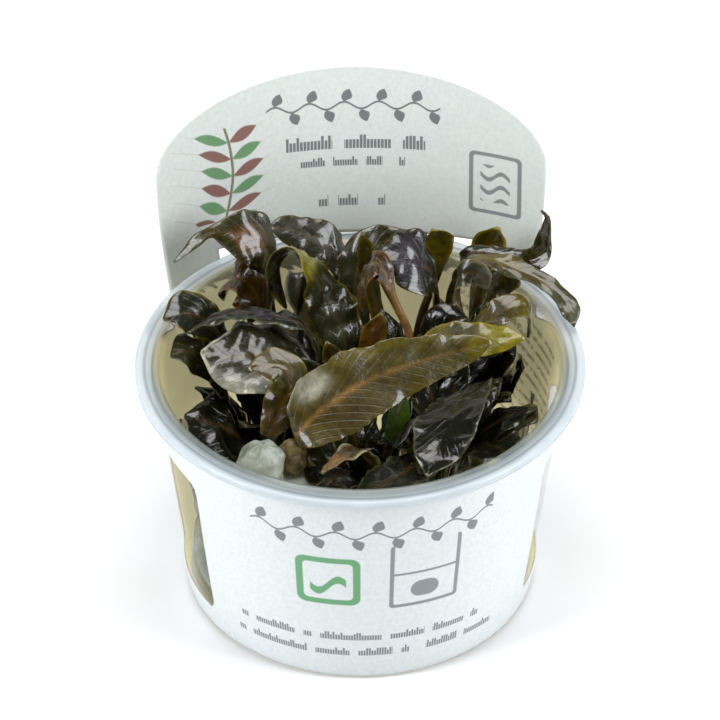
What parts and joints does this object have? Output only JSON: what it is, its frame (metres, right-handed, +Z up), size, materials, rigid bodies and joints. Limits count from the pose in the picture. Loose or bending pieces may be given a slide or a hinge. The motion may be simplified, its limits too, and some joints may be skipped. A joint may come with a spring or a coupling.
{
  "type": "potted aquarium plant",
  "caption": "Crowded brown and olive crinkled-leaf aquarium plantlets rooted in gel in a flanged clear cup, with a windowed white card sleeve and tall round-topped tab.",
  "frame": {"origin": "middle of the cup's flat base, on the table", "axes": "+Z up; the sleeve's tall tab stands at +Y, behind the plant; the front is -Y"},
  "size_m": [0.075, 0.0757, 0.0772],
  "materials": {
    "clear_plastic": "clear gloss",
    "white_card": "satin",
    "gel": "wet translucent",
    "rootstock": "matte",
    "leaf": "wet gloss"
  },
  "bodies": {
    "root": {"cup": "clear_plastic", "gel_bed": "gel", "gel_lump": "gel", "leaf_back_grey": "leaf", "leaf_back_lobe": "leaf", "leaf_back_thin": "leaf", "leaf_back_tip": "leaf", "leaf_beige": "leaf", "leaf_big_left": "leaf", "leaf_brown_droop": "leaf", "leaf_brown_right": "leaf", "leaf_dark_centre": "leaf", "leaf_dark_front_mid": "leaf", "leaf_dark_low_left": "leaf", "leaf_dark_right": "leaf", "leaf_dark_tip": "leaf", "leaf_folded_olive": "leaf", "leaf_front_right": "leaf", "leaf_glossy_mid": "leaf", "leaf_green_bit": "leaf", "leaf_grey_arch": "leaf", "leaf_grey_front": "leaf", "leaf_grey_long": "leaf", "leaf_grey_tongue": "leaf", "leaf_left_flat": "leaf", "leaf_left_rim": "leaf", "leaf_long_front": "leaf", "leaf_long_right": "leaf", "leaf_loop": "leaf", "leaf_olive_diagonal": "leaf", "leaf_olive_right_low": "leaf", "leaf_orange_mid": "leaf", "leaf_over_rim": "leaf", "leaf_purple_fold": "leaf", "leaf_right_lobe": "leaf", "leaf_round_brown": "leaf", "leaf_small_orange": "leaf", "leaf_tan_small": "leaf", "leaf_top_left": "leaf", "leaf_wall_left": "leaf", "leaf_wall_left_back": "leaf", "leaf_wall_right": "leaf", "leaf_wall_right_back": "leaf", "leaf_yellow_edge": "leaf", "rootstock_back": "rootstock", "rootstock_corner": "rootstock", "rootstock_front": "rootstock", "rootstock_left": "rootstock", "rootstock_lump": "rootstock", "rootstock_middle": "rootstock", "rootstock_right": "rootstock", "sleeve": "white_card"}
  },
  "joints": []
}
